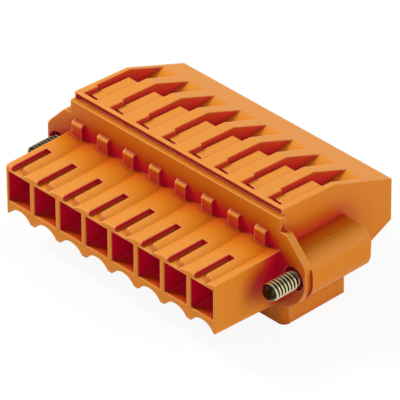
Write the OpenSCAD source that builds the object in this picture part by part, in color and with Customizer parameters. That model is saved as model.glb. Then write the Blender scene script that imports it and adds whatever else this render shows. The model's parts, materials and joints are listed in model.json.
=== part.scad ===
// Pluggable terminal block, eight poles in one row, straight wire entry, screw flange at each end.
// X runs along the row, Y from the mating face to the wire side, Z up from the lowest face.

/* [Row of poles] */
// Distance from one pole to the next
pitch = 3.5; // [3.3:0.05:4.2]
// Thickness of the plastic between two mating chambers
chamber_wall = 0.58; // [0.5:0.02:0.8]

/* [Plug portion] */
// Length of the portion that goes into the header
plug_l = 8.32; // [7.5:0.1:10]
// Depth of that portion below its top, at the mating face
plug_h = 5.4; // [5.2:0.1:6]
// How much deeper the underside is at its rear
plug_fall = 0.4; // [0:0.1:0.6]
// Radius of the rounded nose along the mating face
nose_r = 0.3; // [0.2:0.05:0.6]
// Top of the mating chambers, below the plug top
chamber_top = 0.66; // [0.6:0.02:0.8]
// Height of the mating chambers
chamber_h = 3.28; // [3.1:0.05:3.4]
// Radius of the barrel arches on the plug top
arch_r = 6.0; // [5:0.5:9]
// Offset of an arch's crest from its pole
arch_off = -1.15; // [-1.3:0.05:-1]
// Radius of the scallops under the plug
scallop_r = 1.71; // [1.65:0.02:1.75]
// Depth of the scallops
scallop_h = 0.88; // [0.5:0.05:0.9]
// Width of the coding slots
slot_w = 0.78; // [0.5:0.02:1]
// Offset of the coding slots from their pole
slot_off = -0.66; // [-0.8:0.02:-0.5]
// Length of the coding slots
slot_l = 4.55; // [3:0.05:6]
// Depth of the coding slots
slot_d = 0.42; // [0.3:0.02:0.5]

/* [Front wall and flanges] */
// Thickness of the front wall that closes the housing
wall_t = 0.78; // [0.6:0.02:0.9]
// Height of the front wall above the plug top
wall_up = 3.4; // [3:0.1:3.6]
// Width of a pip on the front wall
pip_w = 1.35; // [1:0.05:1.5]
// Height of a pip above the plug top
pip_h = 1.4; // [1:0.1:2]
// How far a pip stands out
pip_d = 0.42; // [0.3:0.02:0.6]
// Reach of a flange beyond the row
flange_w = 3.26; // [3.2:0.02:3.4]
// Top of the flange plate above the plug top
flange_up = 2.0; // [1.8:0.1:2.4]
// Lower end of a flange's straight side, below the plug top
flange_drop = 2.7; // [2.4:0.1:3]
// Radius of the screw barrels
barrel_r = 1.78; // [1.72:0.02:1.8]
// Length of a barrel's straight side
barrel_up = 1.0; // [0.6:0.05:1.4]
// Length of the screw barrels
barrel_l = 7.6; // [7:0.1:8.2]
// Screw axis, outward from the row
screw_out = 1.78; // [1.74:0.01:1.84]
// Screw axis, below the plug top
screw_down = 2.34; // [2.2:0.02:2.4]
// Radius of the screw bore
screw_bore = 1.26; // [1.2:0.01:1.3]

/* [Rear housing] */
// Length of the rear housing behind the front wall
rear_l = 13.97; // [13:0.1:17]
// Height of the roof's front edge above the plug top
roof_up = 4.19; // [4.1:0.05:4.6]
// Distance of the roof's ridge behind the front wall
ridge_in = 6.46; // [6.3:0.1:6.9]
// How far the roof's front lip stands over the front wall
lip_over = 0.3; // [0.15:0.05:0.4]
// Thickness of the roof's front lip
lip_t = 0.24; // [0.2:0.02:0.4]
// Thickness of the bar between the front wall and the lever recesses
bar_pad = 0.15; // [0.12:0.01:0.3]
// Height of the ridge above the plug top
ridge_up = 3.78; // [3.7:0.05:3.9]
// Height of the rear edge above the plug top
rear_up = 0.86; // [0.8:0.05:1.2]
// Bottom of the rear face, below the plug top
rear_down = 3.72; // [3.6:0.05:4]
// Length of the lower block behind the front wall
foot_l = 7.1; // [6.9:0.1:8]
// Top of the lower block's rear face, below the plug top
foot_rise = 6.9; // [6.5:0.1:7.2]
// Lowest face, below the plug top
base_h = 8.35; // [8.2:0.05:9]
// How far the lower block stands out at each end
foot_out = 0.56; // [0.4:0.02:0.7]
// Inset of the rear housing at each end
roof_in = 0.1; // [0:0.05:0.15]
// Left edge of a lever recess, from its pole
recess_l = 1.15; // [1.1:0.01:1.2]
// Right edge of a lever recess, from its pole
recess_r = 1.07; // [1.0:0.01:1.1]
// Extra rib thickness beside a lever's pivot
boss_t = 0.28; // [0.2:0.02:0.3]
// Rear end of the tool guide behind the front wall
guide_l = 10.8; // [10:0.1:11.2]
// Height of the tool guide's rear edge above the plug top
guide_up = 2.12; // [1.9:0.02:2.2]
// Fall of the tool guide toward the lever
guide_fall = 0.5; // [0.3:0.05:0.7]

/* [Levers] */
// Depth of a lever's top below the roof
lever_down = 0.45; // [0.4:0.01:0.55]
// Side clearance of a lever in its recess
lever_gap = 0.12; // [0.08:0.01:0.15]
// Gap in front of a lever
lever_in = 0.45; // [0.35:0.05:0.6]
// Length of a lever
lever_l = 5.3; // [5:0.05:5.4]
// Gap behind a lever
lever_room = 0.5; // [0.45:0.05:0.9]
// Distance of the lever's pivot from its front end
pivot_in = 0.7; // [0.6:0.05:0.9]
// Thickness of a lever below its pivot
pivot_low = 0.48; // [0.4:0.02:0.6]
// Length of the thrust nose
nose_l = 0.6; // [0.4:0.05:0.8]
// Distance of the thrust nose from the lever's rear end
nose_in = 1.1; // [0.9:0.05:1.3]
// Height of the lever's pivot above the plug top
pivot_up = 3.1; // [3.05:0.01:3.15]
// Radius of the pivot pins
pivot_r = 0.32; // [0.28:0.01:0.35]
// Running clearance around the pivot pins
pivot_gap = 0.05; // [0.03:0.01:0.08]

/* [Contacts and clamps] */
// Front end of a socket contact
socket_y = 3.3; // [3:0.1:4]
// Length of a socket contact's box
socket_l = 4.6; // [4.2:0.1:5]
// Outer width of a socket contact
socket_w = 2.5; // [2.3:0.05:2.6]
// Sheet thickness of a socket contact
sheet = 0.3; // [0.25:0.01:0.35]
// Thickness of the current bar
bar_t = 0.5; // [0.4:0.02:0.6]
// Width of the current bar and of the clamp spring
bar_w = 2.0; // [1.8:0.02:2.06]
// Width of the current bar's tongue
tongue_w = 1.2; // [1:0.02:1.24]
// Sheet thickness of a clamp spring
spring_t = 0.3; // [0.25:0.01:0.32]
// Radius of the clamp spring's loop
loop_r = 1.35; // [1.3:0.01:1.4]
// Radius of a wire hole
wire_r = 0.95; // [0.8:0.01:1]
// Radius of a wire funnel at the rear face
funnel_r = 1.32; // [1.2:0.01:1.4]
// Length of the straight wire hole behind the clamp
wire_l = 3.4; // [2:0.1:4.5]

/* [Flange screws] */
// Thread radius
thread_r = 0.94; // [0.9:0.01:0.95]
// Chamfer at the thread's tip
thread_tip = 0.22; // [0.1:0.02:0.3]
// Front end of a flange screw
screw_y = 4.85; // [4:0.05:6]
// Radius of the screw's neck
neck_r = 0.78; // [0.7:0.01:0.8]
// Radius of the collar that keeps the screw captive
collar_r = 1.04; // [0.98:0.01:1.1]
// Radius of the screw head
head_r = 1.14; // [1.08:0.01:1.16]
// Height of the screw head
head_h = 2.0; // [1.2:0.1:2.4]
// Width of the screwdriver slot
drive_w = 0.4; // [0.3:0.02:0.5]

/* [Hidden] */
$fn = 72;
poles = 8;
row = poles * pitch;
seam = plug_l + wall_t;
body_l = seam + rear_l;
ridge_y = seam + ridge_in;
foot_y = seam + foot_l;
barrel_y = seam + barrel_l;
guide_y = seam + guide_l;
lip_y = seam - lip_over;
chamber_w = pitch - chamber_wall;
bar_top = -chamber_top - 0.14;
bar_low = bar_top - bar_t;
cell_y = seam + bar_pad;
lever_y = cell_y + lever_in;
lever_end = lever_y + lever_l;
pivot_y = lever_y + pivot_in;
cell_end = lever_end + lever_room;
cell_low = -(base_h - 0.95);
wire_z = bar_low - 0.8;
loop_y = cell_y + 0.45 + spring_t / 2 + loop_r;
spring_z = bar_top + spring_t / 2;
spring_hi = spring_z + 2 * loop_r;
boss_low = spring_hi + spring_t / 2 + 0.08;
boss_y = pivot_y + 0.7;
leg_y = lever_end - 0.4;
leg_r = 0.6;
web_y = seam + 1.4;
web_t = 3.2;
head_y = web_y + web_t + 0.06;
flange_low = -flange_drop;
barrel_x = screw_out - 0.03;
barrel_top = 0.02;

function pole_x(k) = (k - (poles + 1) / 2) * pitch;
function roof_z(y) = roof_up - (y - lip_y) * (roof_up - ridge_up) / (ridge_y - lip_y);

// Moves a piece from the plug's own axes to the part's: lowest face at Z 0, middle of the depth at Y 0.
module placed() {
  translate([0, -body_l / 2, base_h])
    children();
}

// A front view, X and Z, given depth from y0 to y1.
module deep(y0, y1) {
  translate([0, y1, 0])
    rotate([90, 0, 0])
      linear_extrude(y1 - y0)
        children();
}

// A side view, Y and Z, given width from x0 to x1.
module wide(x0, x1) {
  translate([x0, 0, 0])
    rotate([90, 0, 90])
      linear_extrude(x1 - x0)
        children();
}

module box(x0, x1, y0, y1, z0, z1) {
  translate([x0, y0, z0])
    cube([x1 - x0, y1 - y0, z1 - z0]);
}

module along_y(x, z, r, y0, y1) {
  translate([x, y1, z])
    rotate([90, 0, 0])
      cylinder(r = r, h = y1 - y0);
}

module along_x(y, z, r, x0, x1) {
  translate([x0, y, z])
    rotate([0, 90, 0])
      cylinder(r = r, h = x1 - x0);
}

// Front view of the plug: barrel arches above, scallops below.
module plug_front() {
  difference() {
    union() {
      translate([-row / 2, -plug_h - plug_fall - 0.2])
        square([row, plug_h + plug_fall - 0.4]);
      for (k = [0 : poles])
        intersection() {
          translate([pole_x(k) + pitch + arch_off, -arch_r])
            circle(r = arch_r, $fn = 180);
          translate([max(pole_x(k) + pitch / 2 + arch_off, -row / 2), -1.5])
            square([min(pole_x(k) + 1.5 * pitch + arch_off, row / 2)
              - max(pole_x(k) + pitch / 2 + arch_off, -row / 2), 2]);
        }
    }
    for (k = [1 : poles])
      translate([pole_x(k), -plug_h - scallop_r + scallop_h])
        circle(r = scallop_r);
  }
}

// Side view of the plug: rounded nose, underside that falls toward the rear.
module plug_side() {
  difference() {
    polygon([
      [0, 0.2],
      [plug_l + 0.1, 0.2],
      [plug_l + 0.1, -plug_h - plug_fall],
      [0, -plug_h]
    ]);
    difference() {
      translate([-1, -nose_r])
        square([1 + nose_r, nose_r + 1]);
      translate([nose_r, -nose_r])
        circle(r = nose_r);
    }
  }
}

// Front view of one flange plate, outward from the row's end.
module flange_plate() {
  polygon([
    [-1, flange_up],
    [0.62, flange_up],
    [0.86, flange_up - 0.07],
    [1.06, flange_up - 0.24],
    [flange_w - 0.42, -0.12],
    [flange_w - 0.14, -0.46],
    [flange_w, -0.85],
    [flange_w, flange_low],
    [flange_w - 0.1, flange_low - 0.65],
    [flange_w - 0.35, flange_low - 1.25],
    [flange_w - 0.95, flange_low - 2.15],
    [foot_out - 0.02, -foot_rise + 0.55],
    [-1, -foot_rise + 0.55]
  ]);
}

// The lower corner of the front wall is rounded over its whole thickness.
module foot_front() {
  box(-row / 2 - foot_out + wall_t, row / 2 + foot_out - wall_t, plug_l, seam, -base_h, -5);
  for (s = [-1, 1])
    intersection() {
      translate([s * (row / 2 + foot_out - wall_t), seam, -base_h])
        cylinder(r = wall_t, h = base_h - 5);
      box(-row, row, plug_l - 1, seam, -base_h, -5);
    }
}

module pip(x) {
  translate([x, 0, 0])
    wide(-pip_w / 2, pip_w / 2)
      polygon([
        [plug_l + 0.1, -0.3],
        [plug_l - pip_d, -0.3],
        [plug_l - pip_d, pip_h - 0.2],
        [plug_l - pip_d + 0.2, pip_h],
        [plug_l + 0.1, pip_h + 0.1]
      ]);
}

module coding_slot(x) {
  box(x - slot_w / 2, x + slot_w / 2, -1, slot_l, -slot_d, 1);
}

module chamber(x) {
  box(x - chamber_w / 2, x + chamber_w / 2, -1, seam + 1, -chamber_top - chamber_h, -chamber_top);
}

module front_shell() {
  color([0.92, 0.47, 0.12])
    placed()
      difference() {
        union() {
          intersection() {
            wide(-row / 2 - 1, row / 2 + 1) plug_side();
            deep(-1, plug_l + 0.1) plug_front();
          }
          box(-row / 2, row / 2, plug_l, seam, -plug_h, wall_up);
          foot_front();
          for (s = [0, 1])
            mirror([s, 0, 0])
              translate([row / 2, 0, 0])
                deep(plug_l, seam) flange_plate();
          for (k = [1 : poles])
            pip(pole_x(k) - 0.55);
        }
        for (k = [1 : poles]) {
          chamber(pole_x(k));
          coding_slot(pole_x(k) + slot_off);
        }
        for (s = [-1, 1])
          along_y(s * (row / 2 + screw_out), -screw_down, screw_bore, plug_l - 1, seam + 1);
      }
}

// Side view of the rear housing.
module housing_side() {
  polygon([
    [lip_y, wall_up + 0.02],
    [lip_y, roof_up],
    [ridge_y, ridge_up],
    [body_l, rear_up],
    [body_l, -rear_down],
    [foot_y, -foot_rise],
    [foot_y, -base_h],
    [seam, -base_h],
    [seam, wall_up + 0.02]
  ]);
}

// Front view of one screw barrel: round above, straight side, then a slope to the lower block.
module barrel_front() {
  out = barrel_x + barrel_r;
  union() {
    translate([barrel_x, -barrel_top - barrel_r])
      circle(r = barrel_r);
    translate([-1, -barrel_top - barrel_r - barrel_up])
      square([barrel_x + 1, barrel_r + barrel_up + 0.01]);
    polygon([
      [-1, -barrel_top - barrel_r],
      [out, -barrel_top - barrel_r],
      [out, -barrel_top - barrel_r - barrel_up],
      [out - 0.1, -barrel_top - barrel_r - barrel_up - 0.55],
      [out - 0.35, -barrel_top - barrel_r - barrel_up - 1.1],
      [foot_out, -foot_rise + 0.4],
      [-1, -foot_rise + 0.4]
    ]);
  }
}

// The open space of one pole: lever recess, clamp chamber, tool guide, wire hole and funnel.
module cell(x) {
  translate([x, 0, 0]) {
    box(-recess_l + boss_t, recess_r, cell_y, boss_y + 0.1, boss_low - 0.1, roof_up + 1);
    box(-recess_l, recess_r, boss_y, cell_end, cell_low, roof_up + 1);
    box(-recess_l, recess_r, cell_y, boss_y + 0.1, cell_low, boss_low);
    wide(-recess_l, recess_r)
      polygon([
        [cell_end - 0.1, guide_up - guide_fall - 0.1],
        [cell_end + 0.3, guide_up - guide_fall],
        [cell_end + 1.2, guide_up - 0.3],
        [cell_end + 2.4, guide_up - 0.1],
        [guide_y, guide_up],
        [guide_y, roof_up],
        [cell_end - 0.1, roof_up]
      ]);
    box(-recess_l, recess_r, seam - 1, cell_y + 0.1, -chamber_top - chamber_h, -chamber_top);
    along_x(pivot_y, pivot_up, pivot_r + pivot_gap, -recess_l - 0.02, recess_r + 0.3);
    box(-tongue_w / 2 - 0.05, tongue_w / 2 + 0.05, cell_end - 0.1, cell_end + 0.65, bar_low - 0.02, bar_top + 0.02);
    along_y(0, wire_z, wire_r, cell_end - 0.1, body_l);
    translate([0, cell_end + wire_l, wire_z])
      rotate([-90, 0, 0])
        cylinder(r1 = wire_r, r2 = funnel_r, h = body_l - cell_end - wire_l);
  }
}

module rear_shell() {
  color([0.92, 0.47, 0.12])
    placed()
      difference() {
        union() {
          wide(-row / 2 + roof_in, row / 2 - roof_in) housing_side();
          box(-row / 2 - foot_out, row / 2 + foot_out, seam, foot_y, -base_h, -screw_down - 1);
          for (s = [0, 1])
            mirror([s, 0, 0])
              translate([row / 2, 0, 0])
                deep(seam, barrel_y) barrel_front();
        }
        for (k = [1 : poles])
          cell(pole_x(k));
        box(-row / 2 + 0.35, row / 2 - 0.35, lip_y - 1, seam, wall_up + 0.04, roof_up - lip_t);
        for (s = [-1, 1]) {
          along_y(s * (row / 2 + screw_out), -screw_down, screw_bore, seam - 1, web_y);
          along_y(s * (row / 2 + screw_out), -screw_down, neck_r + 0.07, web_y - 1, web_y + web_t + 1);
          along_y(s * (row / 2 + screw_out), -screw_down, screw_bore, web_y + web_t, barrel_y + 1);
        }
      }
}

// Side view of a lever, with the thrust nose that bears on the clamp spring.
module lever_side() {
  under = pivot_up - pivot_low;
  nose = spring_hi + spring_t / 2 + 0.04;
  polygon([
    [lever_y + 0.12, roof_z(lever_y) - lever_down],
    [lever_end - 0.1, roof_z(lever_end) - lever_down],
    [lever_end, roof_z(lever_end) - lever_down - 0.1],
    [lever_end, under + 0.1],
    [lever_end - nose_in + 0.35, under],
    [lever_end - nose_in, nose],
    [lever_end - nose_in - nose_l, nose],
    [lever_end - nose_in - nose_l - 0.4, under + 0.1],
    [pivot_y + 1.2, under + 0.2],
    [pivot_y + 0.6, under],
    [lever_y + 0.15, under],
    [lever_y, under + 0.18],
    [lever_y, roof_z(lever_y) - lever_down - 0.12]
  ]);
}

module lever(k) {
  color([0.95, 0.5, 0.15])
    placed()
      translate([pole_x(k), 0, 0]) {
        wide(-recess_l + boss_t + lever_gap, recess_r - lever_gap) lever_side();
        along_x(pivot_y, pivot_up, pivot_r, -recess_l + 0.03, recess_r + 0.25);
      }
}

// Plan of one of the two sprung arms in a socket contact.
module arm() {
  polygon([
    [0.62, socket_y + 0.15],
    [0.3, socket_y + 1.0],
    [0.3, socket_y + 1.5],
    [socket_w / 2 - sheet - 0.12, socket_y + socket_l - 0.3],
    [socket_w / 2 - sheet + 0.05, socket_y + socket_l - 0.3],
    [socket_w / 2 - sheet + 0.05, socket_y + socket_l - 0.6],
    [0.52, socket_y + 1.45],
    [0.52, socket_y + 1.05],
    [0.8, socket_y + 0.25]
  ]);
}

module contact(k) {
  low = -chamber_top - chamber_h + 0.28;
  color([0.82, 0.82, 0.8])
    placed()
      translate([pole_x(k), 0, 0]) {
        difference() {
          box(-socket_w / 2, socket_w / 2, socket_y, socket_y + socket_l, low, bar_top);
          box(-socket_w / 2 + sheet, socket_w / 2 - sheet, socket_y - 1, socket_y + socket_l + 1, low + sheet, bar_top - sheet);
        }
        for (s = [0, 1])
          mirror([s, 0, 0])
            translate([0, 0, low + 0.7])
              linear_extrude(1.2)
                arm();
        box(-bar_w / 2, bar_w / 2, socket_y + socket_l - 0.4, leg_y - 0.4, bar_low, bar_top);
        box(-tongue_w / 2, tongue_w / 2, leg_y - 0.5, cell_end + 0.6, bar_low, bar_top);
      }
}

// Side view of the bent strip: a leg on the bar, a loop, a top leg and the window leg.
module spring_side() {
  t = spring_t / 2;
  translate([loop_y, spring_z - t])
    square([leg_y - 0.8 - loop_y, spring_t]);
  intersection() {
    translate([loop_y, spring_z + loop_r])
      difference() {
        circle(r = loop_r + t);
        circle(r = loop_r - t);
      }
    translate([loop_y - loop_r - 1, spring_z - 1])
      square([loop_r + 1, 2 * loop_r + 2]);
  }
  translate([loop_y, spring_hi - t])
    square([leg_y - leg_r - loop_y, spring_t]);
  intersection() {
    translate([leg_y - leg_r, spring_hi - leg_r])
      difference() {
        circle(r = leg_r + t);
        circle(r = leg_r - t);
      }
    translate([leg_y - leg_r, spring_hi - leg_r])
      square([leg_r + 1, leg_r + 1]);
  }
  translate([leg_y - t, bar_low - 0.95])
    square([spring_t, spring_hi - leg_r - bar_low + 0.95]);
}

module spring(k) {
  color([0.7, 0.71, 0.72])
    placed()
      translate([pole_x(k), 0, 0])
        difference() {
          wide(-bar_w / 2, bar_w / 2) spring_side();
          box(-tongue_w / 2 - 0.08, tongue_w / 2 + 0.08, leg_y - 1, leg_y + 1, bar_low - 0.04, bar_top + 1.7);
        }
}

// Half section of a flange screw, radius and length from its front end.
module screw_half() {
  polygon([
    [0, 0],
    [thread_r - thread_tip, 0],
    [thread_r, thread_tip],
    [thread_r, plug_l - screw_y - 0.02],
    [neck_r, plug_l - screw_y + 0.02],
    [neck_r, web_y - 0.5 - screw_y],
    [collar_r, web_y - 0.5 - screw_y],
    [collar_r, web_y - 0.1 - screw_y],
    [neck_r, web_y - 0.1 - screw_y],
    [neck_r, head_y - screw_y],
    [head_r, head_y - screw_y],
    [head_r, head_y - screw_y + head_h - 0.15],
    [head_r - 0.15, head_y - screw_y + head_h],
    [0, head_y - screw_y + head_h]
  ]);
}

module screw(s) {
  color([0.8, 0.76, 0.6])
    placed()
      translate([s * (row / 2 + screw_out), screw_y, -screw_down])
        difference() {
          rotate([-90, 0, 0])
            rotate_extrude()
              screw_half();
          box(-drive_w / 2, drive_w / 2, head_y - screw_y + head_h - 0.7, head_y - screw_y + head_h + 1, -2, 2);
        }
}

module lever_1() { lever(1); }
module lever_2() { lever(2); }
module lever_3() { lever(3); }
module lever_4() { lever(4); }
module lever_5() { lever(5); }
module lever_6() { lever(6); }
module lever_7() { lever(7); }
module lever_8() { lever(8); }
module contact_1() { contact(1); }
module contact_2() { contact(2); }
module contact_3() { contact(3); }
module contact_4() { contact(4); }
module contact_5() { contact(5); }
module contact_6() { contact(6); }
module contact_7() { contact(7); }
module contact_8() { contact(8); }
module spring_1() { spring(1); }
module spring_2() { spring(2); }
module spring_3() { spring(3); }
module spring_4() { spring(4); }
module spring_5() { spring(5); }
module spring_6() { spring(6); }
module spring_7() { spring(7); }
module spring_8() { spring(8); }
module screw_left() { screw(-1); }
module screw_right() { screw(1); }

front_shell();
rear_shell();
lever_1();
lever_2();
lever_3();
lever_4();
lever_5();
lever_6();
lever_7();
lever_8();
contact_1();
contact_2();
contact_3();
contact_4();
contact_5();
contact_6();
contact_7();
contact_8();
spring_1();
spring_2();
spring_3();
spring_4();
spring_5();
spring_6();
spring_7();
spring_8();
screw_left();
screw_right();
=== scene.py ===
# %% [markdown]
# # A pluggable terminal block
# The solids come from the imported part, in metres, with every piece at its place. This lesson gives them their looks:
# rounded moulded edges, a satin plastic with painted crimson shade in its recesses, bright contacts and real screw
# threads.
# Lengths are written in millimetres and multiplied by `mm`. X runs along the row, Y to the rear, Z up.

# %% Load the solids
import bpy
import bmesh
import json
import math
from mathutils import Matrix, Vector


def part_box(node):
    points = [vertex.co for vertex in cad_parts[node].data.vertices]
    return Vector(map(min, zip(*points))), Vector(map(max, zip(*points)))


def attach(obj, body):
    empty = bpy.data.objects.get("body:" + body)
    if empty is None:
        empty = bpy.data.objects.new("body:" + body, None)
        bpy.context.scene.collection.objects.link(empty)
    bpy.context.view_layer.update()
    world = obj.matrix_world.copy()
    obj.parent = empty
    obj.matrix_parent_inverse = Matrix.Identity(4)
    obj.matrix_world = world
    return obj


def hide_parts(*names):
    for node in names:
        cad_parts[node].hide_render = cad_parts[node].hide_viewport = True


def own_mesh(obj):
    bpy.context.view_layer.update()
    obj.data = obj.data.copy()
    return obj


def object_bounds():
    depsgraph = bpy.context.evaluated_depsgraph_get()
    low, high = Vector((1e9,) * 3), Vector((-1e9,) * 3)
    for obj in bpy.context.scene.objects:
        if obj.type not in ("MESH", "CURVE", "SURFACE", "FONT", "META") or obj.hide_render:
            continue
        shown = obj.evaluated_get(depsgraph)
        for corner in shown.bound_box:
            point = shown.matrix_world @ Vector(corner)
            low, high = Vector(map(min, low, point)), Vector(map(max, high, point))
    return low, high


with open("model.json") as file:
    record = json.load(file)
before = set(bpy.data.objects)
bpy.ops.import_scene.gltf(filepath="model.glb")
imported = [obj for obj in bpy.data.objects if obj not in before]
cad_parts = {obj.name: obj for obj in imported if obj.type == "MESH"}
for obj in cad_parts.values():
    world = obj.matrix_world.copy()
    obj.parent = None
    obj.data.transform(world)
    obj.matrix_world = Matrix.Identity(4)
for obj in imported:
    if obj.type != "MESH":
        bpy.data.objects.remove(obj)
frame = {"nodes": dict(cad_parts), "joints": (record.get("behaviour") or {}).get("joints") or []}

cad_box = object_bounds()
mm = 0.001


def nothing_selected():
    """Leaves edit mode and deselects all, so that the next operator acts only on what it is given."""
    if bpy.context.mode != "OBJECT":
        bpy.ops.object.mode_set(mode="OBJECT")
    bpy.ops.object.select_all(action="DESELECT")


def select_only(piece):
    """Selects one object and makes it the active one."""
    nothing_selected()
    piece.select_set(True)
    bpy.context.view_layer.objects.active = piece


nothing_selected()
print("solids loaded:", len(frame["nodes"]))

# %% [markdown]
# ## The camera
# A long lens from high on the right keeps the row's edges almost parallel. The camera stands at an azimuth and an
# elevation about a point in the block, and a small roll levels it. Its three axes are written as the columns of a
# matrix: right, up, and back toward the viewer.

# %% Set up the camera
azimuth, elevation, roll = math.radians(46.05), math.radians(34.18), math.radians(-0.37)
aim = Vector((0, -1.535, 8.35)) * mm
to_the_right, downward, distance = 1.216, 1.69, 582.57
sensor_width, lens_to_sensor = 36, 15.645

back = Vector((math.sin(azimuth) * math.cos(elevation), -math.cos(azimuth) * math.cos(elevation), math.sin(elevation)))
right = Vector((math.cos(azimuth), math.sin(azimuth), 0))
up = back.cross(right)
turned_right = right * math.cos(roll) + up * math.sin(roll)
turned_up = up * math.cos(roll) - right * math.sin(roll)
stand = aim + (turned_right * to_the_right - turned_up * downward + back * distance) * mm

bpy.ops.object.camera_add()
camera = bpy.context.object
camera.name = "camera"
turn = Matrix((turned_right, turned_up, back)).transposed().to_4x4()
camera.matrix_world = Matrix.Translation(stand) @ turn
camera.data.sensor_width = sensor_width
camera.data.lens = sensor_width * lens_to_sensor
camera.data.clip_start, camera.data.clip_end = 0.01, 20
bpy.context.scene.camera = camera
bpy.context.scene.view_settings.view_transform = "Standard"
print("camera stands", round(stand.length, 3), "m away, lens", round(camera.data.lens), "mm")

# %% [markdown]
# ## A small language for materials
# A material is a graph of nodes. Written out link by link it is hard to read, so `Signal` wraps a socket and lets
# Python's own operators add the Math nodes, and `Finish.add` makes any other node from its type, settings and inputs.
# The other methods of `Finish` are the nodes that these materials use again and again.

# %% Wrap a socket
class Signal:
    """The output of a node. Adding, subtracting or multiplying signals adds a Math node to the graph."""

    def __init__(self, finish, socket):
        self.finish, self.socket = finish, socket

    def maths(self, operation, first, second):
        return self.finish.add("ShaderNodeMath", {"operation": operation}, {0: first, 1: second})

    def __add__(self, other):
        return self.maths("ADD", self, other)

    def __sub__(self, other):
        return self.maths("SUBTRACT", self, other)

    def __rsub__(self, other):
        return self.maths("SUBTRACT", other, self)

    def __mul__(self, other):
        return self.maths("MULTIPLY", self, other)

    def __pow__(self, other):
        return self.maths("POWER", self, other)

    __radd__ = __add__
    __rmul__ = __mul__


print("signals can be added, subtracted, multiplied and raised to a power")

# %% Build a finish node by node
class Finish:
    """A material with a Principled shader, whose constants are given by name with _ for each space."""

    def __init__(self, name, **constants):
        self.material = bpy.data.materials.new(name)
        self.material.use_nodes = True
        self.tree = self.material.node_tree
        self.shader = self.tree.nodes["Principled BSDF"]
        for socket, value in constants.items():
            self.shader.inputs[socket.replace("_", " ")].default_value = value

    def add(self, kind, settings=None, inputs=None, output=0):
        """Adds a node. Inputs are given by name or number, as a Signal or a constant."""
        node = self.tree.nodes.new(kind)
        for key, value in (settings or {}).items():
            if key == "stops":
                ramp = node.color_ramp
                for place, shade in value[2:]:
                    ramp.elements.new(place)
                for stop, (place, shade) in zip(ramp.elements, sorted(value)):
                    stop.position, stop.color = place, shade
            else:
                setattr(node, key, value)
        for key, value in (inputs or {}).items():
            self.feed(node.inputs[key], value)
        return Signal(self, node.outputs[output])

    def feed(self, socket, value):
        """Links a Signal to a socket, or sets the socket to a constant."""
        if isinstance(value, Signal):
            self.tree.links.new(value.socket, socket)
        else:
            socket.default_value = value

    def shader_input(self, name, signal):
        self.feed(self.shader.inputs[name], signal)

    def ramp(self, signal, low, high):
        """Goes from 0 where the signal is at low to 1 where it is at high. Low may be the larger one."""
        return self.add("ShaderNodeMapRange", {"clamp": True}, {"Value": signal, "From Min": low, "From Max": high})

    def mix(self, factor, first, second):
        """Mixes two colours. A Mix node has its colours at inputs 6 and 7 and at output 2."""
        return self.add("ShaderNodeMix", {"data_type": "RGBA"}, {0: factor, 6: first, 7: second}, output=2)

    def noise(self, place, scale, detail=2.0):
        return self.add("ShaderNodeTexNoise", {}, {"Vector": place, "Scale": scale, "Detail": detail})

    def part(self, vector, axis):
        """One of a vector's three parts: X, Y or Z."""
        return self.add("ShaderNodeSeparateXYZ", {}, {0: vector}, output=axis)

    def openness(self, reach, samples, own_piece=False, inside=False):
        """How open the surroundings are within reach: 1 in the open, 0 where all is closed in."""
        return self.add("ShaderNodeAmbientOcclusion", {"samples": samples, "only_local": own_piece, "inside": inside},
                        {"Distance": reach}, output="AO")


print("material helpers ready")

# %% [markdown]
# ## The moulded plastic
# The shells are polyamide with a satin skin from a spark-eroded mould. Fine grain breaks up the gloss. Light that
# bounces between orange walls turns deep red, so the colour carries painted shade: recesses are painted darker and
# redder than open faces, and faces that look up are painted lighter. An edge is never perfectly sharp, so each outer
# edge gets a painted highlight, a line of paler colour.
#
# Ambient Occlusion measures how enclosed a point is. It is taken at three reaches: those of a whole recess and of a
# near neighbour pick the painted tone, and the shortest draws the painted shade of creases and valleys. An edge is
# where the rounded normal of the Bevel node differs from the true one. The same test finds grooves too, so a fourth
# occlusion, taken inward into the material, keeps the painted highlight to what sticks out. Some places get painted
# light of their own: in the roof's recesses the walls that face right, which are lit by the wall across; the foot,
# to which the floor sends light up; and the fronts of the pips, which stand out from the wall. Deep places get a
# faint painted red glow, for the light that passes through the plastic, and the most closed-in pits a painted dark
# red shade. A plain colour with lamps alone would be quicker, but grey shade in the recesses makes orange plastic look
# painted.

# %% Name what the plastic depends on
# Colours of the painted shade in pits and in the valleys between the arches, and of the painted red glow.
black, pit_shade_red = (0, 0, 0, 1), (0.06, 0.001, 0.006, 1)
valley_shade_brown, painted_glow_red = (0.36, 0.075, 0.003, 1), (0.110, 0.0005, 0.0062, 1)

# Scales of the grain and the mottle, per metre, and the reach of each occlusion.
grain_scale, cloud_scale, grain_detail = 7000, 320, 3.0
recess_reach, neighbour_reach, crease_reach, inward_reach = 5.5 * mm, 2.4 * mm, 0.5 * mm, 0.25 * mm
edge_radius, grain_depth = 0.15 * mm, 0.012 * mm

# Where a part of the normal or a place starts to count, and where it counts fully.
upward, rightward, frontward, leftward = (0.2, 0.9), (0.5, 0.9), (-0.4, -0.8), (0.1, -0.6)
behind_the_wall, foot_heights = (-2.5 * mm, -2.3 * mm), (3.6 * mm, 0.8 * mm)
pip_depths, plug_depths = (-3.4 * mm, -3.5 * mm), (-4.2 * mm, -4.0 * mm)

# The same for what the occlusions and the rounded normal say.
tone_places, light_range = (0.0, 0.26, 0.74, 1.0), (0.24, 1.25)
edge_highlight_range, outward_range, crease_shade_range = (0.004, 0.05), (1.0, 0.75), (1.0, 0.45)
valley_shade_start, valley_shade_end, pit_shade_range = (1.0, 0.90), (0.45, 0.70), (0.12, 0.0)
lit_wall_start, lit_wall_end = (1.0, 0.6), (0.14, 0.42)
painted_glow_range, painted_glow_depths = (0.16, 0.0), (0.0, 0.12)
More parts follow.
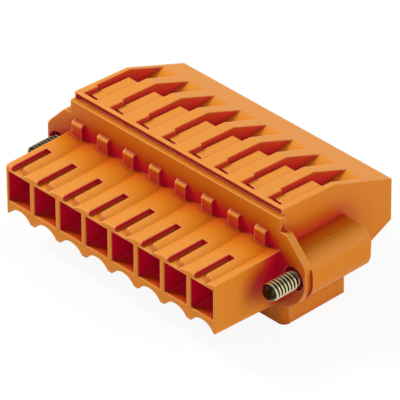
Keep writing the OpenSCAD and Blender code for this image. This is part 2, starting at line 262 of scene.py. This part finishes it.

# How strongly the near and the wide surroundings darken the painted shade, how much painted light and shade each
# kind of place gets, and how strong the random mottle is.
wide_power, beside_power = 1.3, 1.25
wide_ease_up, beside_ease_up, plug_side_shade_power, top_light_gain = 0.4, 0.75, 1.4, 0.22
floor_bounce_gain, mottle_gain, lit_wall_gain, pip_light_gain = 0.38, 0.08, 0.20, 0.16
valley_shade_cover, crease_shade_cover, pit_shade_cover = 0.85, 0.7, 0.8
edge_highlight_cover, edge_highlight_cover_left, painted_glow_least = 0.55, 0.45, 0.25
print("reaches in mm:", [round(reach / mm, 2) for reach in (recess_reach, neighbour_reach, crease_reach)])

# %% Mix the plastic
def moulded_plastic(name, tones, edge_highlight_colour, crease_shade_colour):
    """Tones of painted shade and light run from the deepest recess to an open face that looks up; edges get a
    painted highlight and creases painted shade, each in a colour of its own.
    """
    skin = Finish(name, Specular_IOR_Level=0.12, IOR=1.5, Emission_Strength=1.0)
    place = skin.add("ShaderNodeTexCoord", output="Object")
    grain, cloud = skin.noise(place, grain_scale, grain_detail), skin.noise(place, cloud_scale)
    depth, height = skin.part(place, "Y"), skin.part(place, "Z")

    # Which way the surface looks, and which part of the block it belongs to.
    true_normal = skin.add("ShaderNodeNewGeometry", output="Normal")
    round_normal = skin.add("ShaderNodeBevel", {"samples": 6}, {"Radius": edge_radius})
    facing_up = skin.ramp(skin.part(true_normal, "Z"), *upward)
    facing_right = skin.ramp(skin.part(true_normal, "X"), *rightward)
    facing_front = skin.ramp(skin.part(true_normal, "Y"), *frontward)
    edge_to_left = skin.ramp(skin.part(round_normal, "X"), *leftward)
    behind_wall = skin.ramp(depth, *behind_the_wall)
    in_front = 1 - behind_wall
    on_pip = facing_front * skin.ramp(depth, *pip_depths) * skin.ramp(depth, *plug_depths)
    near_floor = skin.ramp(height, *foot_heights)

    # How enclosed the point is, at three reaches, and the tone that follows: painted shade where it is closed in,
    # painted light where it is open.
    wide = skin.openness(recess_reach, 16, own_piece=True)
    beside = skin.openness(neighbour_reach, 12)
    near = skin.openness(crease_reach, 12, own_piece=True)
    # Painted shade where the point is closed in, less on faces that look up and more on faces that look right in front
    # of the wall; faces that look up, and the foot by the floor, get painted light.
    light = wide ** (wide_power - facing_up * wide_ease_up) * (1 + facing_up * top_light_gain)
    light = light * beside ** (beside_power - facing_up * beside_ease_up + facing_right * in_front * plug_side_shade_power)
    light = skin.ramp(light + near_floor * floor_bounce_gain + (cloud - 0.5) * mottle_gain, *light_range)
    # Painted light on the recess walls that face right, and on the fronts of the pips.
    lit_wall = facing_right * behind_wall * skin.ramp(wide, *lit_wall_start) * skin.ramp(wide, *lit_wall_end)
    body = skin.add("ShaderNodeValToRGB", {"stops": list(zip(tone_places, tones))},
                    {"Fac": light + lit_wall * lit_wall_gain + on_pip * pip_light_gain})

    # Painted shade in the valleys between the arches, in creases and in dark pits, and painted highlights on outer
    # edges, lie over the tone, in this order.
    valley_shade = skin.ramp(near, *valley_shade_start) * skin.ramp(near, *valley_shade_end) * facing_up * in_front
    crease_shade = skin.ramp(near, *crease_shade_range)
    pit_shade = skin.ramp(beside, *pit_shade_range)
    likeness = skin.add("ShaderNodeVectorMath", {"operation": "DOT_PRODUCT"}, {0: true_normal, 1: round_normal},
                        output="Value")
    sticks_out = skin.ramp(skin.openness(inward_reach, 8, own_piece=True, inside=True), *outward_range)
    edge = skin.ramp(1 - likeness, *edge_highlight_range) * sticks_out
    colour = skin.mix(valley_shade * valley_shade_cover, body, valley_shade_brown)
    colour = skin.mix(crease_shade * crease_shade_cover, colour, skin.mix(light, crease_shade_colour, tones[1]))
    colour = skin.mix(pit_shade * pit_shade_cover, colour, pit_shade_red)
    skin.shader_input("Base Color", skin.mix(edge * (edge_highlight_cover + edge_to_left * edge_highlight_cover_left), colour, edge_highlight_colour))

    # A painted red glow, emission that stands for light bounced through the plastic; it fades where a passage is so
    # deep that no light comes through.
    deep = painted_glow_least + skin.ramp(wide, *painted_glow_depths) * (1 - painted_glow_least)
    glow = skin.ramp(light, *painted_glow_range) * (1 - pit_shade) * deep
    skin.shader_input("Emission Color", skin.mix(glow, black, painted_glow_red))
    skin.shader_input("Roughness", 0.42 + (grain - 0.5) * 0.16 + (cloud - 0.5) * 0.10)
    skin.shader_input("Normal", skin.add("ShaderNodeBump", {}, {
        "Strength": 0.16, "Distance": grain_depth, "Height": grain, "Normal": round_normal}))
    return skin.material


print("a plastic takes", len(tone_places), "tones")

# %% Pour both plastics
# Tones of painted shade and painted light, from the deepest recess to a lit top; then the colours of the painted edge
# highlight and of the painted crease shade.
deepest_shade, shaded, side_lit = (0.42, 0.0015, 0.010, 1), (0.50, 0.058, 0.004, 1), (0.65, 0.198, 0.007, 1)
shell_lit_top, lever_lit_top = (0.73, 0.275, 0.045, 1), (0.75, 0.295, 0.052, 1)
edge_highlight_orange, crease_shade_red = (1.0, 0.50, 0.17, 1), (0.33, 0.012, 0.004, 1)
shell_plastic, lever_plastic = [
    moulded_plastic(name, (deepest_shade, shaded, side_lit, top), edge_highlight_orange, crease_shade_red)
    for name, top in (("orange_polyamide", shell_lit_top), ("orange_polyamide_lever", lever_lit_top))]
print("plastics:", shell_plastic.name, lever_plastic.name)

# %% [markdown]
# ## The metals
# The sockets are tin-plated: pale, and faintly streaked along the strip that they are stamped from. The clamp
# springs are stainless strip, darker and brighter. The flange screws are zinc-plated with a pale yellow passivation,
# darker in the thread's roots. Every metal is painted darker where it is closed in, as painted shade.

# %% Define a metal
line_scale, patch_scale, line_depth, shade_reach = 2600, 900, 0.006 * mm, 0.35 * mm


def metal(name, colour, shade, roughness, streak, rubbed=None):
    """A metal with painted shade: it turns to its shade colour where it is closed in. Streak stretches the drawn lines;
    the last argument names an attribute that paints a screw paler on its crests and darker in its roots, and adds
    painted shade over the left screw."""
    plate = Finish(name, Metallic=1.0)
    place = plate.add("ShaderNodeTexCoord", output="Object")
    drawn = plate.add("ShaderNodeMapping", {}, {"Vector": place, "Scale": streak})
    lines, patches = plate.noise(drawn, line_scale, 3.0), plate.noise(place, patch_scale)
    # Painted shade where the metal is closed in; on a screw the attribute also darkens the roots, and the left screw
    # all over, as painted shade.
    unshaded = plate.ramp(plate.openness(shade_reach, 10) + (patches - 0.5) * 0.12, 0.35, 0.85)
    if rubbed:
        crest = plate.add("ShaderNodeAttribute", {"attribute_name": rubbed}, output="Fac")
        unshaded = unshaded * plate.ramp(crest, 0.35, 0.95)
    plate.shader_input("Base Color", plate.mix(unshaded, shade, colour))
    plate.shader_input("Roughness", roughness + (lines - 0.5) * 0.22)
    plate.shader_input("Normal", plate.add("ShaderNodeBump", {}, {
        "Strength": 0.2, "Distance": line_depth, "Height": lines}))
    return plate.material


print("lines run", line_scale, "to the metre")

# %% Mix the metals
along_strip, along_bent_strip, even = (1, 0.08, 1), (1, 0.08, 0.3), (1, 1, 1)
# Each metal's second colour is its painted shade.
tin = metal("tin_plate", (0.72, 0.72, 0.70, 1), (0.22, 0.21, 0.19, 1), 0.36, along_strip)
spring_steel = metal("spring_steel", (0.58, 0.59, 0.60, 1), (0.16, 0.16, 0.16, 1), 0.26, along_bent_strip)
zinc = metal("passivated_zinc", (0.93, 0.86, 0.54, 1), (0.035, 0.024, 0.010, 1), 0.30, even, rubbed="rubbed")
print("metals:", tin.name, spring_steel.name, zinc.name)

# %% [markdown]
# ## Dress the solids
# A solid whose shape is right keeps its mesh and only gets its finish, in its own material slots. The first word of a
# node's name says what it is made of.

# %% Give every solid its finish
finishes = {"front": shell_plastic, "rear": shell_plastic, "lever": lever_plastic,
            "contact": tin, "spring": spring_steel, "screw": zinc}
for node_name, node in frame["nodes"].items():
    finish = finishes[node_name.split("_")[0]]
    for slot in node.material_slots:
        slot.material = finish
    if not node.material_slots:
        node.data.materials.append(finish)
print("solids dressed:", len(frame["nodes"]))

# %% [markdown]
# ## Rounded mouldings
# No mould makes a perfectly sharp edge. The exact solids have sharp ones, so each moulding gets a piece of its own: a
# copy of the solid's mesh is merged, its flat areas are dissolved into single faces, and every long outer edge is
# bevelled in three small steps. The inner corners stay sharp, as the cutter left them in the mould. So do the edges
# along the joint between the two shells, which is closed. A Bevel modifier could do it by angle alone, but it can't
# tell an outer edge from an inner one, so the edges are chosen in code. The faces stay flat shaded, because the Bevel
# node in the plastic already smooths the small angles between them.

# %% Choose the edges to round
film_low, film_high = 11.7 * mm, 11.85 * mm
joint_plane, joint_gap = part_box("front_shell")[1][1], 0.03 * mm
sharp_angle, flat_angle = math.radians(32), math.radians(0.5)
shortest_edge, merge_distance = 0.3 * mm, 0.0001 * mm
print("the shells meet at Y", round(joint_plane / mm, 3), "mm")


def select_outer_edges(piece):
    """Selects the sharp edges that stick out and aren't too short, in edit mode, and says how many they are.

    The roof's front lip ends in a film of 0.02 mm on the front wall, too thin to round, so its edges are left out,
    and so are the edges in the plane where the two shells meet.
    """
    bpy.ops.mesh.select_all(action="DESELECT")
    bpy.ops.mesh.select_mode(type="EDGE")
    drawing = bmesh.from_edit_mesh(piece.data)
    count = 0
    for edge in drawing.edges:
        if edge.is_manifold and edge.is_convex and edge.calc_face_angle() > sharp_angle:
            on_film = all(film_low < vertex.co.z < film_high for vertex in edge.verts)
            on_joint = all(abs(vertex.co.y - joint_plane) < joint_gap for vertex in edge.verts)
            if edge.calc_length() > shortest_edge and not on_film and not on_joint:
                edge.select_set(True)
                count += 1
    bmesh.update_edit_mesh(piece.data)
    return count


# %% [markdown]
# ## Small cuts
# A feature that a moulding has besides its solid is cut out with a Boolean modifier, which is applied at once. The
# cutter is a prism: its side view is drawn as one face and extruded along X. All the cuts of one moulding are made
# with one cutter, so the modifier runs once.

# %% Define the cutters
def cut_with(piece, cutter, name):
    """Takes one object's shape out of the active piece and removes the cutter."""
    cut = piece.modifiers.new(name, "BOOLEAN")
    cut.operation, cut.object, cut.solver = "DIFFERENCE", cutter, "EXACT"
    bpy.ops.object.modifier_apply(modifier=cut.name)
    bpy.data.objects.remove(cutter, do_unlink=True)


def prism_object(prisms):
    """One object with all the prisms. Each has a low and a high X, and the Y and Z of its side view's corners."""
    drawing = bmesh.new()
    for low, high, outline in prisms:
        side = drawing.faces.new([drawing.verts.new((low, y, z)) for y, z in outline])
        grown = bmesh.ops.extrude_face_region(drawing, geom=[side])["geom"]
        bmesh.ops.translate(drawing, vec=(high - low, 0, 0), verts=[item for item in grown if hasattr(item, "co")])
    bmesh.ops.recalc_face_normals(drawing, faces=drawing.faces)
    mesh = bpy.data.meshes.new("cutter")
    drawing.to_mesh(mesh)
    drawing.free()
    cutter = bpy.data.objects.new("cutter", mesh)
    bpy.context.scene.collection.objects.link(cutter)
    return cutter


print("cutters ready")

# %% [markdown]
# ## From a solid to a piece
# A solid's mesh is loose triangles, so its points are merged before anything else. The piece then rides on the same
# body as the solid, takes its material slot and stands for it, and the solid stays hidden for collision.

# %% Define how a piece is made
def merge_points():
    """Goes into edit mode and merges the active piece's points where they coincide. All stays selected."""
    bpy.ops.object.mode_set(mode="EDIT")
    bpy.ops.mesh.select_all(action="SELECT")
    bpy.ops.mesh.remove_doubles(threshold=merge_distance)


def merged_copy(node_name, piece_name):
    """Copies a solid's mesh into a piece of its own, merges its points and leaves it in edit mode, all selected."""
    piece = bpy.data.objects.new(piece_name, frame["nodes"][node_name].data.copy())
    bpy.context.scene.collection.objects.link(piece)
    piece.data.name = piece_name
    select_only(piece)
    merge_points()
    return piece


def place_piece(piece, node_name, body, finish):
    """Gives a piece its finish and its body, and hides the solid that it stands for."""
    piece.data.materials.clear()
    piece.data.materials.append(finish)
    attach(piece, body)
    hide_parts(node_name)


def rounded_moulding(node_name, piece_name, body, finish, radius, prisms=()):
    """A copy of a solid, with prisms taken out of it and its outer edges rounded."""
    piece = merged_copy(node_name, piece_name)
    if prisms:
        bpy.ops.object.mode_set(mode="OBJECT")
        cut_with(piece, prism_object(prisms), "cut_away")
        merge_points()
    bpy.ops.mesh.dissolve_limited(angle_limit=flat_angle)
    count = select_outer_edges(piece)
    bpy.ops.mesh.bevel(offset=radius, segments=3, affect="EDGES", clamp_overlap=False)
    bpy.ops.object.mode_set(mode="OBJECT")
    bpy.ops.object.shade_flat()
    place_piece(piece, node_name, body, finish)
    print(piece_name, "edges rounded:", count, "faces:", len(piece.data.polygons))


print("points closer than", round(merge_distance / mm, 5), "mm are merged")

# %% [markdown]
# ## The two shells
# The front shell has a tongue beside each keying slot, and in front of the tongue the moulding steps down to the
# slot's floor and slopes up again. The step is cut as one prism for each pole. Its floor lies exactly in the slot's
# floor, so that no sliver is left between them. The rear shell is only rounded.

# %% Round the two shells
poles, pole_pitch = range(1, 9), 3.5 * mm
middle_pole = (poles[0] + poles[-1]) / 2
pole_places = [(pole - middle_pole) * pole_pitch for pole in poles]
mating_face, plug_top = cad_box[0][1], 8.35 * mm
shell_radius, lever_radius = 0.07 * mm, 0.06 * mm
slot_floor, slope_start, step_length, slope_top = -0.42, 0.58, 0.96, -0.06
slot_left, slot_right = 0.66 * mm, 0.60 * mm
step_outline = [(mating_face + y * mm, plug_top + z * mm) for y, z in (
    (-1, slot_floor), (slope_start, slot_floor), (step_length, slope_top), (step_length, 1), (-1, 1))]
steps = [(x - slot_left, x + slot_right, step_outline) for x in pole_places]
rounded_moulding("front_shell", "front_moulding", "block", shell_plastic, shell_radius, steps)
rounded_moulding("rear_shell", "rear_moulding", "block", shell_plastic, shell_radius)

# %% [markdown]
# ## The levers
# Each lever is a flat plate that rocks on a pin near its front end, and a press on its rear end opens the clamp. The
# left part of the front end is notched. The notch is a plain box, placed from the lever's own box, so it follows when
# the lever changes.

# %% Round the levers
notch_length, notch_width, notch_depth, margin = 0.32 * mm, 1.5 * mm, 0.9 * mm, mm
for pole in poles:
    low, high = [Vector(corner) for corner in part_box(f"lever_{pole}")]
    outside, inner_end, bottom, above = low.y - margin, low.y + notch_length, high.z - notch_depth, high.z + margin
    notch = (low.x - margin, low.x + notch_width,
             [(outside, bottom), (inner_end, bottom), (inner_end, above), (outside, above)])
    rounded_moulding(f"lever_{pole}", f"moulded_lever_{pole}", f"lever_body_{pole}", lever_plastic,
                     lever_radius, [notch])

# %% [markdown]
# ## The clamp springs
# A pressed lever pushes its thrust nose down on the clamp spring, and the strip bends out of the way. The solid
# can't bend, so a copy of it stands for the spring. The copy is merged, shaded smooth and given a mesh of its own.

# %% Copy the springs
pressed_height, smooth_angle = 1.95 * mm, math.radians(35)
for joint in frame["joints"]:
    for bending in joint.get("deforming_nodes", []):
        node_name, seat = bending["node"], bending["fixed_end_z_m"]
        low, high = [Vector(corner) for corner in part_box(node_name)]
        spring = merged_copy(node_name, "clamp_" + node_name)
        bpy.ops.object.mode_set(mode="OBJECT")
        bpy.ops.object.shade_smooth_by_angle(angle=smooth_angle)
        place_piece(spring, node_name, "block", spring_steel)
        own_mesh(spring)

# %% [markdown]
# ## The flange screws
# The exact solid has a plain cylinder where the thread is, of the thread's outside diameter. The real screw has a
# rolled M2 thread of 0.4 mm pitch, so a new piece stands for it. The screw is measured first: its length and its head
# come from the solid's box, and the rest repeats the solid's own sizes.

# %% Measure the screws
pitch, turns, ridge_height, sunk = 0.4 * mm, 8, 0.235 * mm, 0.05 * mm
thread_radius, neck_radius, collar_radius = 0.94 * mm, 0.78 * mm, 1.04 * mm
root_radius = thread_radius - ridge_height
screw_low, screw_high = [Vector(corner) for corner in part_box("screw_right")]
head_radius, screw_length = (screw_high.x - screw_low.x) / 2, screw_high.y - screw_low.y
thread_length, collar_start, collar_length, head_length = 3.45 * mm, 5.15 * mm, 0.4 * mm, 2.0 * mm
collar_end, head_start = collar_start + collar_length, screw_length - head_length
print("screw length", round(screw_length / mm, 2), "mm, head", round(2 * head_radius / mm, 2), "mm")

# %% [markdown]
# ## Thread and core
# Both start as an outline of points, given by their radius and their place on the axis. The core's outline is spun
# about the axis. The thread is a small V-shaped ridge, and the Screw modifier winds it round while it climbs, which is
# how a thread is cut as well. Rings of bumps would be quicker, but they don't climb, and that shows at the end. The
# ridge sinks into the core at both ends, so the thread runs out instead of stopping in a cliff.

# %% Draw an outline
def outline_object(name, points, closed):
    """A new mesh object that holds one outline, joined in order, from each point's radius and place on the axis."""
    nothing_selected()
    bpy.ops.mesh.primitive_plane_add(size=mm)
    piece = bpy.context.object
    piece.name = name
    drawing = bmesh.new()
    corners = [drawing.verts.new((radius, y, 0)) for radius, y in points]
    for first, second in zip(corners, corners[1:] + (corners[:1] if closed else [])):
        drawing.edges.new((first, second))
    drawing.to_mesh(piece.data)
    drawing.free()
    return piece


print("outlines are drawn in the plane of X and Y")

# %% Wind the thread
steps_per_turn, run_in, run_out, least_reach = 40, 0.45 * mm, 0.4 * mm, 0.05


def wound_thread():
    """The ridge of the thread, from the tip at Y 0 rearwards, closed at both ends and faded into the core."""
    foot, crest = root_radius - sunk, thread_radius
    ridge = outline_object("thread_ridge", [
        (foot, 0), (root_radius, -0.02 * mm), (crest - 0.01 * mm, 0.135 * mm), (crest, 0.165 * mm),
        (crest - 0.01 * mm, 0.195 * mm), (root_radius, 0.35 * mm), (foot, 0.33 * mm)], closed=True)
    winding = ridge.modifiers.new("winding", "SCREW")
    winding.axis, winding.angle, winding.screw_offset = "Y", 2 * math.pi * turns, pitch * turns
    winding.steps = winding.render_steps = steps_per_turn * turns
    winding.use_merge_vertices = False
    bpy.ops.object.modifier_apply(modifier=winding.name)
    bpy.ops.object.mode_set(mode="EDIT")
    bpy.ops.mesh.select_all(action="SELECT")
    bpy.ops.mesh.fill_holes(sides=0)
    bpy.ops.mesh.normals_make_consistent(inside=False)
    bpy.ops.object.mode_set(mode="OBJECT")
    front_end, rear_end = -0.05 * mm, pitch * turns + 0.33 * mm
    for vertex in ridge.data.vertices:
        radius = math.hypot(vertex.co.x, vertex.co.z)
        reach = min((vertex.co.y - front_end) / run_in, (rear_end - vertex.co.y) / run_out, 1)
        wanted = foot + (radius - foot) * max(reach, least_reach)
        vertex.co.x *= wanted / radius
        vertex.co.z *= wanted / radius
    return ridge


print("thread:", turns, "turns of", round(pitch / mm, 2), "mm")

# %% Spin the core
blade_size = Vector((0.4, 1.4, 4)) * mm


def spun_core():
    """Core, neck, collar and head in one outline spun about the axis, with a driver's slot cut across the head."""
    core = outline_object("screw_core", [
        (0, 0), (root_radius - 0.12 * mm, 0), (root_radius, 0.14 * mm), (root_radius, thread_length - 0.05 * mm),
        (neck_radius, thread_length + 0.02 * mm), (neck_radius, collar_start), (collar_radius, collar_start),
        (collar_radius, collar_end), (neck_radius, collar_end), (neck_radius, head_start), (head_radius, head_start),
        (head_radius, screw_length - 0.2 * mm), (head_radius - 0.06 * mm, screw_length - 0.06 * mm),
        (head_radius - 0.2 * mm, screw_length), (0, screw_length)], closed=False)
    bpy.ops.object.mode_set(mode="EDIT")
    bpy.ops.mesh.select_all(action="SELECT")
    bpy.ops.mesh.spin(steps=64, angle=2 * math.pi, center=(0, 0, 0), axis=(0, 1, 0))
    bpy.ops.mesh.select_all(action="SELECT")
    bpy.ops.mesh.remove_doubles(threshold=0.0005 * mm)
    bpy.ops.mesh.normals_make_consistent(inside=False)
    nothing_selected()
    bpy.ops.mesh.primitive_cube_add(size=1)
    blade = bpy.context.object
    blade.dimensions = blade_size
    blade.location = (0, screw_length, 0)
    select_only(core)
    cut_with(core, blade, "driver_slot")
    return core


print("driver's slot", round(blade_size.x / mm, 2), "mm wide")

# %% [markdown]
# ## Two screws, the left one in painted shade
# Each point of the mesh stores how far out it lies, and the zinc's colour reads that: paler on the crests, darker in
# the roots. The left screw stores lower values on its crests, so it is painted darker all over, as painted shade. With
# an attribute on the points, one material serves both screws, wherever their axes lie and however dark each is painted.

# %% Mark the pale crests and make both screws
def mark_pale_crests(screw, crest_paleness):
    """Stores how pale each point of the metal is painted: 0 in the roots, rising to the given value on the crests, and
    1 behind the thread. A crest value below 1 is painted shade.
    """
    rubbed = screw.data.attributes.new("rubbed", "FLOAT", "POINT")
    for vertex, mark in zip(screw.data.vertices, rubbed.data):
        height = (math.hypot(vertex.co.x, vertex.co.z) - root_radius) / ridge_height
        mark.value = crest_paleness * min(max(height, 0), 1) if vertex.co.y < thread_length else 1


def flange_screw(side, crest_paleness):
    """Joins a core and a thread and puts them where the solid is, with the place in the mesh."""
    core, ridge = spun_core(), wound_thread()
    select_only(core)
    ridge.select_set(True)
    bpy.ops.object.join()
    mark_pale_crests(core, crest_paleness)
    low, high = [Vector(corner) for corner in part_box("screw_" + side)]
    core.location = ((low.x + high.x) / 2, low.y, (low.z + high.z) / 2)
    core.name = core.data.name = "threaded_screw_" + side
    select_only(core)
    bpy.ops.object.transform_apply(location=True, rotation=True, scale=True)
    bpy.ops.object.shade_smooth_by_angle(angle=smooth_angle)
    place_piece(core, "screw_" + side, "screw_body_" + side, zinc)
    print(core.name, len(core.data.polygons), "faces")


# The left screw's crests get a lower value, which paints it darker all over, as painted shade.
flange_screw("left", crest_paleness=0.6)
flange_screw("right", crest_paleness=1.0)

# %% [markdown]
# ## The floor
# A plain white floor. It could be lit until it clips, but then the block would be too bright as well, so the floor
# gives off part of its own light, to the camera and to what mirrors it. It shows almost white but keeps a share of
# its shading, so a trace of the block's shadow stays.

# %% Lay the floor
def pale_floor(own_light):
    """A white floor just under the block. Own light is the share of it that glows instead of being lit."""
    nothing_selected()
    bpy.ops.mesh.primitive_plane_add(size=3, location=(0, 0, -0.02 * mm))
    floor = bpy.context.object
    floor.name = "floor"
    sheet = Finish("floor_white", Roughness=0.9, Specular_IOR_Level=0.1)
    place = sheet.add("ShaderNodeTexCoord", output="Object")
    mottle = sheet.noise(place, 40, 2.0)
    sheet.shader_input("Base Color", sheet.mix(mottle, (0.86, 0.86, 0.86, 1), (0.90, 0.90, 0.90, 1)))
    glow = sheet.add("ShaderNodeEmission", {}, {"Color": (1, 1, 1, 1), "Strength": 1.0})
    seen = sheet.add("ShaderNodeLightPath", output="Is Camera Ray")
    mirrored = sheet.add("ShaderNodeLightPath", output="Is Glossy Ray")
    share = seen.maths("MAXIMUM", seen, mirrored) * own_light
    surface = sheet.add("ShaderNodeMixShader", {}, {0: share, 2: glow})
    sheet.tree.links.new(sheet.shader.outputs[0], surface.socket.node.inputs[1])
    sheet.tree.links.new(surface.socket, sheet.tree.nodes["Material Output"].inputs[0])
    floor.data.materials.append(sheet.material)


pale_floor(own_light=0.92)
print("floor laid just under Z 0")

# %% [markdown]
# ## The light
# A soft key light from the upper left shows the arches; the pale line along each edge is a painted highlight,
# stronger on edges that face this light. A broad fill from the rear right keeps the flange side open, and a pale sky
# does the rest. The sky is brighter to the camera than to the block, which gives a white background with no extra
# light.

# %% Light the scene
def soft_lamp(name, direction, distance, size, power):
    """A round lamp that stands in the given direction and looks at the block."""
    bpy.ops.object.light_add(type="AREA")
    lamp = bpy.context.object
    lamp.name = name
    lamp.data.shape, lamp.data.size, lamp.data.energy = "DISK", size, power
    place = Vector(direction).normalized()
    lamp.location = place * distance
    lamp.rotation_euler = place.to_track_quat("Z", "Y").to_euler()


soft_lamp("key", (-0.70, -0.26, 0.72), distance=0.5, size=0.16, power=2.3)
soft_lamp("fill_right", (0.84, 0.36, 0.38), distance=0.6, size=0.5, power=1.75)

sky_on_block, sky_seen = 0.42, 1.0
world = bpy.data.worlds.new("sky")
bpy.context.scene.world = world
world.use_nodes = True
sky = world.node_tree.nodes["Background"]
path = world.node_tree.nodes.new("ShaderNodeLightPath")
level = world.node_tree.nodes.new("ShaderNodeMapRange")
level.inputs["To Min"].default_value, level.inputs["To Max"].default_value = sky_on_block, sky_seen
world.node_tree.links.new(path.outputs["Is Camera Ray"], level.inputs["Value"])
world.node_tree.links.new(level.outputs[0], sky.inputs["Strength"])
sky.inputs["Color"].default_value = (1, 1, 1, 1)

# %% [markdown]
# ## The end
# Looks never change the object's size.

# %% Clear the selection
nothing_selected()
